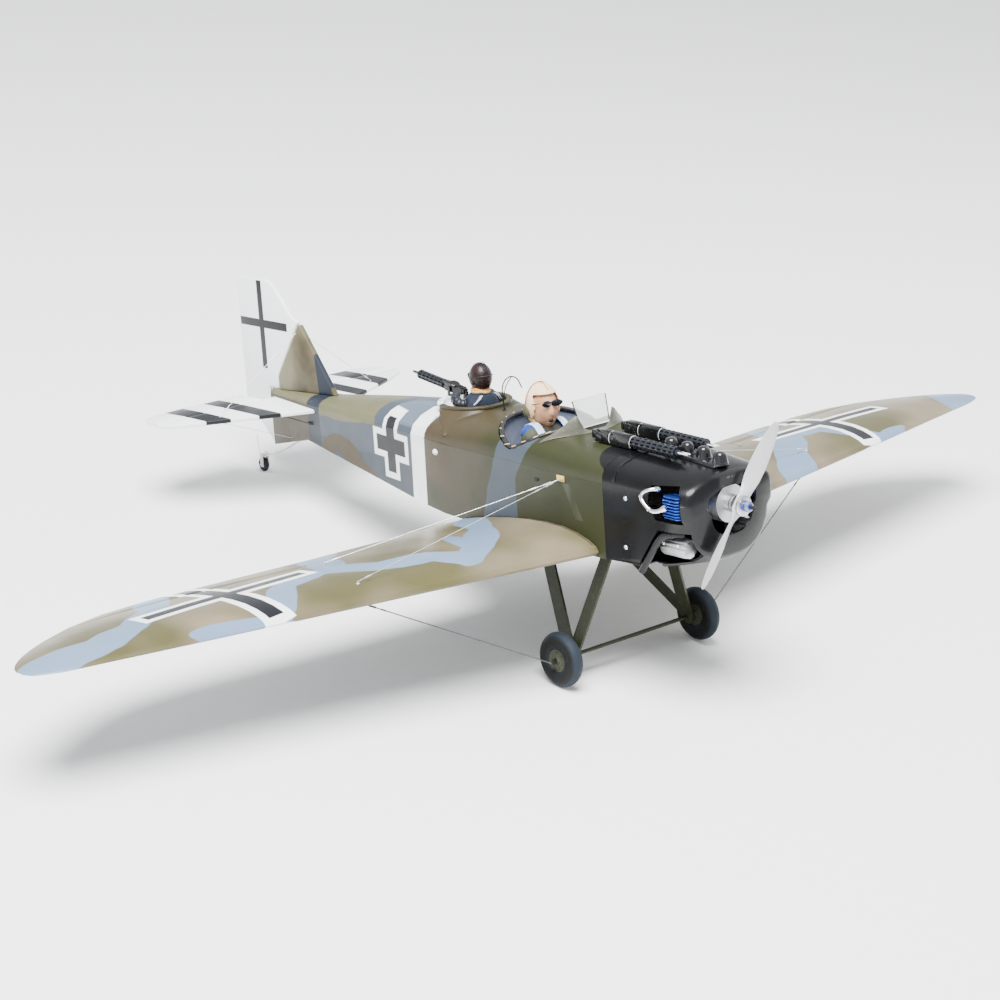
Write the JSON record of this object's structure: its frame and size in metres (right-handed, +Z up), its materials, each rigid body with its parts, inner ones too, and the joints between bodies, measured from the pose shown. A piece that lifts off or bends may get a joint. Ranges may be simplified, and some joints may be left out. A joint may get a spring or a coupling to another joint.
{
  "type": "rc warbird plane",
  "caption": "Giant-scale radio-controlled low-wing two-seat monoplane on fixed tail-dragger gear, with working controls, lift-off cockpit hatch, crew figures and dummy guns.",
  "frame": {"origin": "on the ground under the middle of the overall box, the model resting on its main wheels and tail wheel", "axes": "+X to port along the span, +Y aft, +Z up; the nose points along -Y and is raised by the three-point stance"},
  "size_m": [2.445, 1.594, 0.5459],
  "materials": {
    "camouflage_skin": "satin camouflage paint over a glass-fibre and plywood skin",
    "camouflage_wing": "satin camouflage paint over a sheeted foam-cored wing",
    "white_skin": "satin white paint over sheeted balsa",
    "cowl_black": "satin black paint over glass fibre",
    "plywood": "bare birch ply",
    "cast_aluminium": "cast and turned, unpainted",
    "blue_anodised": "blue anodised",
    "chrome": "bright metal cap and braided lead",
    "exhaust_black": "heat-resistant black",
    "gun_black": "satin black",
    "dummy_metal_black": "satin black dummy valve covers",
    "propeller_grey": "light grey, satin",
    "clear_glazing": "clear sheet",
    "dull_metal": "dull grey metal",
    "padded_black": "padded and laced edge",
    "jacket_blue": "blue cloth jacket",
    "figure_skin": "painted figure",
    "jacket_black": "black jacket",
    "leather_brown": "shiny brown flying helmet",
    "wire_steel": "bright wire",
    "strut_olive": "dark olive paint",
    "tyre_black": "smooth black rubber",
    "hub_khaki": "khaki paint",
    "tank_plastic": "translucent moulded tank",
    "battery_wrap": "shrink wrapped",
    "cable_black": "black covered wire"
  },
  "bodies": {
    "airframe": {"fuselage_hull": "camouflage_skin", "rear_deck": "camouflage_skin", "engine_cowl": "cowl_black", "firewall": "plywood", "crankcase": "cast_aluminium", "cylinder_starboard": "blue_anodised", "cylinder_port": "blue_anodised", "plug_cap_starboard": "chrome", "plug_cap_port": "chrome", "muffler_starboard": "cast_aluminium", "muffler_port": "cast_aluminium", "exhaust_pipe_starboard": "exhaust_black", "exhaust_pipe_port": "exhaust_black", "valve_cover": "dummy_metal_black", "wing_starboard": "camouflage_wing", "wing_port": "camouflage_wing", "wing_tube": "cast_aluminium", "stabiliser": "white_skin", "fin": "camouflage_skin", "tail_spring": "dull_metal", "gear_leg_front_starboard": "strut_olive", "gear_leg_front_port": "strut_olive", "gear_leg_rear_starboard": "strut_olive", "gear_leg_rear_port": "strut_olive", "axle": "strut_olive", "flying_wires_starboard": "wire_steel", "flying_wires_port": "wire_steel", "lower_wire_starboard": "wire_steel", "lower_wire_port": "wire_steel", "fuel_tank": "tank_plastic", "battery_pack": "battery_wrap", "radio_tray": "plywood"},
    "hatch": {"top_hatch": "camouflage_skin", "windscreen_fairing": "dull_metal", "windscreen_pane": "clear_glazing", "cockpit_coaming": "padded_black", "pilot_torso": "jacket_blue", "pilot_head": "figure_skin", "intercom_wire": "cable_black", "gunner_ring": "camouflage_skin", "gunner_torso": "jacket_black", "gunner_head": "leather_brown", "forward_gun_starboard": "gun_black", "forward_gun_port": "gun_black"},
    "propeller_assembly": {"propeller": "propeller_grey", "propeller_hub": "cast_aluminium"},
    "wheel_starboard": {"tyre_starboard": "tyre_black", "wheel_hub_starboard": "hub_khaki"},
    "wheel_port": {"tyre_port": "tyre_black", "wheel_hub_port": "hub_khaki"},
    "aileron_starboard": {"aileron_starboard": "camouflage_wing"},
    "aileron_port": {"aileron_port": "camouflage_wing"},
    "elevators": {"elevator_starboard": "white_skin", "elevator_port": "white_skin"},
    "elevator_pushrod": {"elevator_pushrod": "cable_black"},
    "rudder": {"rudder": "white_skin"},
    "tail_steering": {"tail_fork": "dull_metal"},
    "tail_wheel": {"tail_wheel": "tyre_black"},
    "gun_mount": {"gun_mount": "gun_black"},
    "rear_gun": {"rear_gun": "gun_black"}
  },
  "joints": [
    {"name": "hatch_lift", "type": "slide", "parent": "airframe", "child": "hatch", "axis": [0, 0.1671, 0.9859], "range_m": [0, 0.15]},
    {"name": "propeller_spin", "type": "hinge", "parent": "airframe", "child": "propeller_assembly", "pos_m": [0, -0.7561, 0.413], "axis": [0, -0.9859, 0.1671], "continuous": true},
    {"name": "wheel_spin_starboard", "type": "hinge", "parent": "airframe", "child": "wheel_starboard", "pos_m": [-0.181, -0.5021, 0.0535], "axis": [1, 0, 0], "continuous": true},
    {"name": "wheel_spin_port", "type": "hinge", "parent": "airframe", "child": "wheel_port", "pos_m": [0.181, -0.5021, 0.0535], "axis": [1, 0, 0], "continuous": true},
    {"name": "aileron_hinge_starboard", "type": "hinge", "parent": "airframe", "child": "aileron_starboard", "pos_m": [-0.56, -0.19828, 0.22138], "axis": [0.9919, -0.1237, 0.0285], "range_deg": [-20, 20]},
    {"name": "aileron_hinge_port", "type": "hinge", "parent": "airframe", "child": "aileron_port", "pos_m": [0.56, -0.19828, 0.22138], "axis": [0.9919, 0.1237, -0.0285], "range_deg": [-20, 20]},
    {"name": "elevator_hinge", "type": "hinge", "parent": "airframe", "child": "elevators", "pos_m": [0, 0.64584, 0.19111], "axis": [1, 0, 0], "range_deg": [-20, 20]},
    {"name": "elevator_pushrod_slide", "type": "slide", "parent": "airframe", "child": "elevator_pushrod", "axis": [0, 0.9923, -0.124], "range_m": [-0.0072, 0.0072]},
    {"name": "rudder_hinge", "type": "hinge", "parent": "airframe", "child": "rudder", "pos_m": [0, 0.66316, 0.17245], "axis": [0, 0.1671, 0.9859], "range_deg": [-25, 25]},
    {"name": "tail_steering_hinge", "type": "hinge", "parent": "airframe", "child": "tail_steering", "pos_m": [0, 0.6837, 0.01836], "axis": [0, 0.1671, 0.9859], "range_deg": [-25, 25]},
    {"name": "tail_wheel_spin", "type": "hinge", "parent": "tail_steering", "child": "tail_wheel", "pos_m": [0, 0.69455, 0.01652], "axis": [1, 0, 0], "continuous": true},
    {"name": "rear_gun_yaw", "type": "hinge", "parent": "hatch", "child": "gun_mount", "pos_m": [0, 0.05337, 0.37165], "axis": [0, 0.1671, 0.9859], "range_deg": [-15, 15]},
    {"name": "rear_gun_pitch", "type": "hinge", "parent": "gun_mount", "child": "rear_gun", "pos_m": [0, 0.05705, 0.39334], "axis": [1, 0, 0], "range_deg": [-16, 1]}
  ],
  "couplings": [
    {"joint": "aileron_hinge_port", "follows": "aileron_hinge_starboard", "ratio": -1},
    {"joint": "elevator_pushrod_slide", "follows": "elevator_hinge", "m_per_rad": 0.02},
    {"joint": "tail_steering_hinge", "follows": "rudder_hinge", "ratio": 1}
  ]
}
